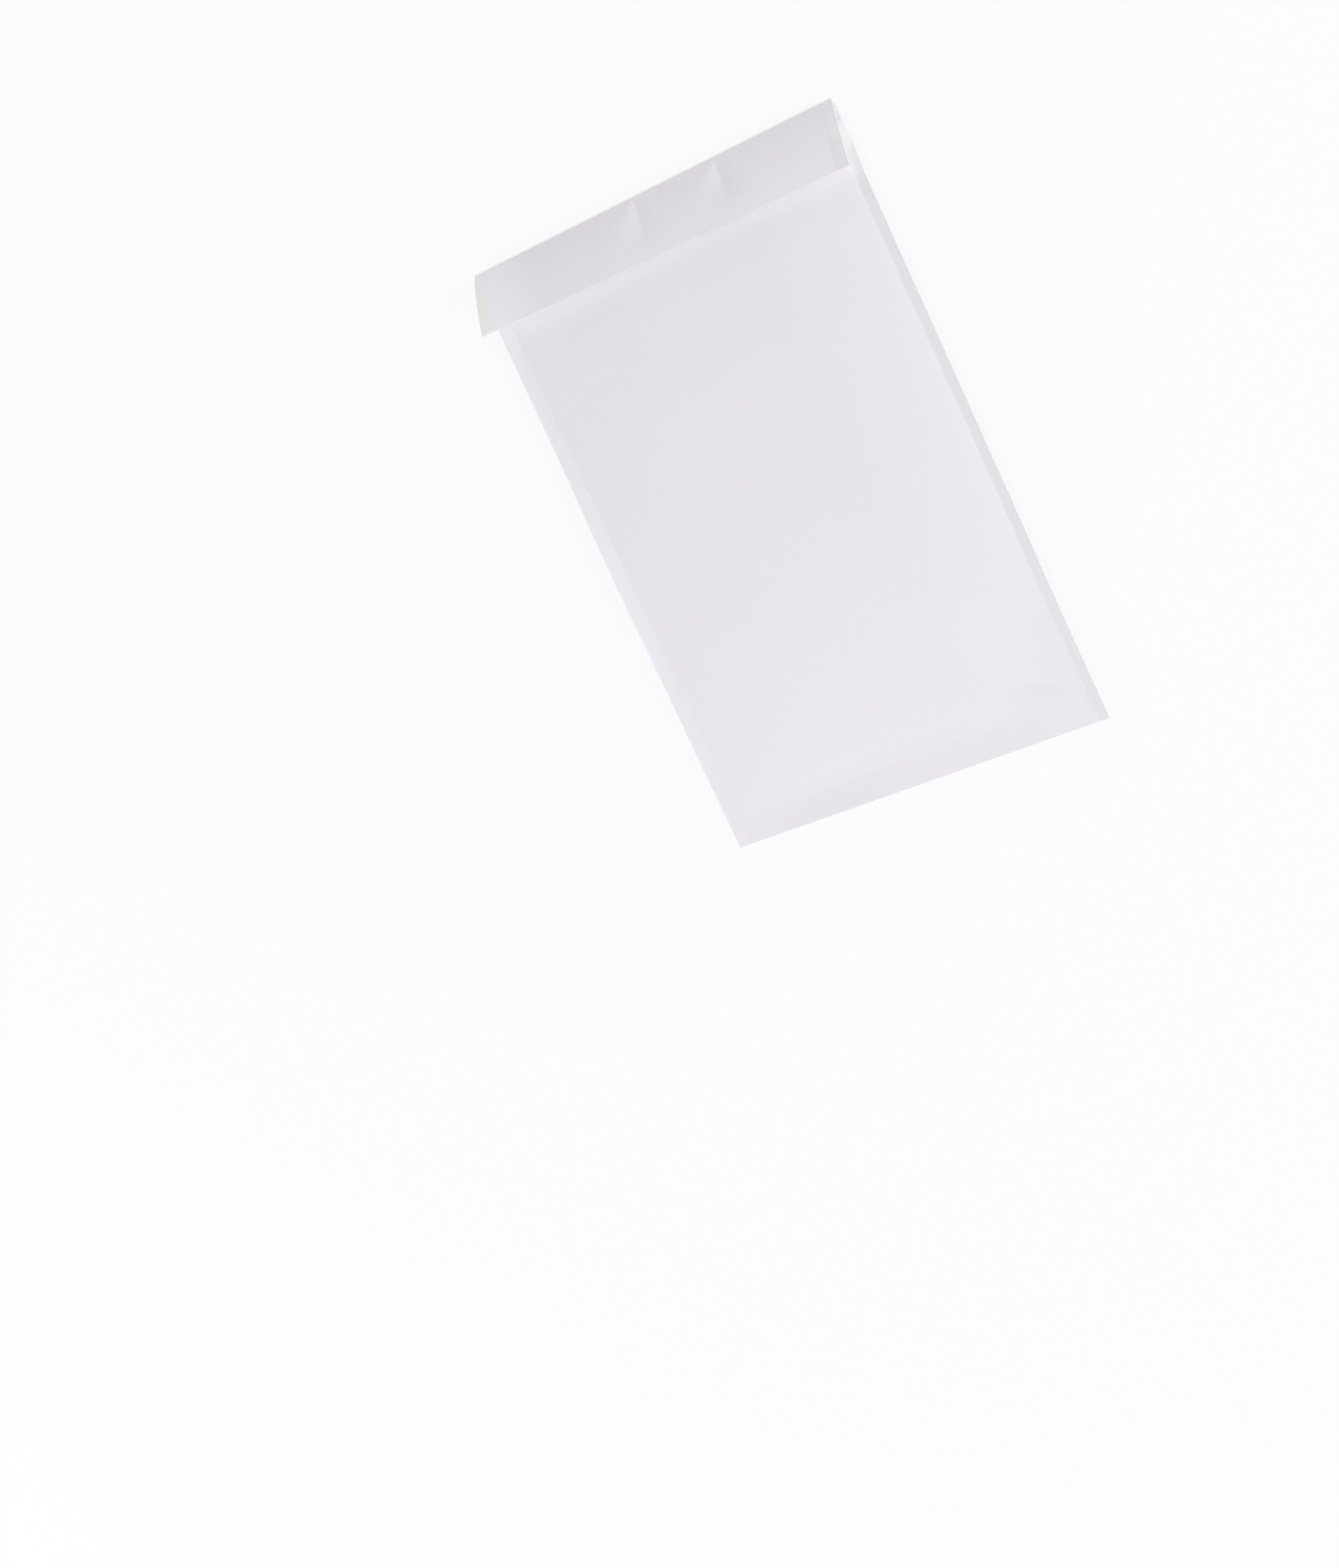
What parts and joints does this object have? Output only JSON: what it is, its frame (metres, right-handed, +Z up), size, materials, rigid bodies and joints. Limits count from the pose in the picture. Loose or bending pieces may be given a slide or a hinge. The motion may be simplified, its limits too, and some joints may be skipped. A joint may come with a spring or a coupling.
{
  "type": "padded envelope",
  "caption": "Bubble-lined paper envelope lying on its back, sealed flat round the pad, with its flap folded part of the way over the front and an open pocket inside.",
  "frame": {"origin": "centre of the bottom of the box around the envelope as it lies on its back", "axes": "+Y along the length towards the flap's crease, +Z up out of the front panel, +X across the width"},
  "size_m": [0.32, 0.455, 0.0288],
  "materials": {
    "white_paper": "smooth bleached kraft paper with a slight sheen",
    "bubble_film": "clear air-bubble film",
    "adhesive": "tacky pale amber hot-melt adhesive",
    "release_paper": "glossy silicone-coated release paper"
  },
  "bodies": {
    "root": {"paper_sleeve": "white_paper", "bubble_lining": "bubble_film", "adhesive_strip": "adhesive", "release_strip": "release_paper"}
  },
  "joints": []
}
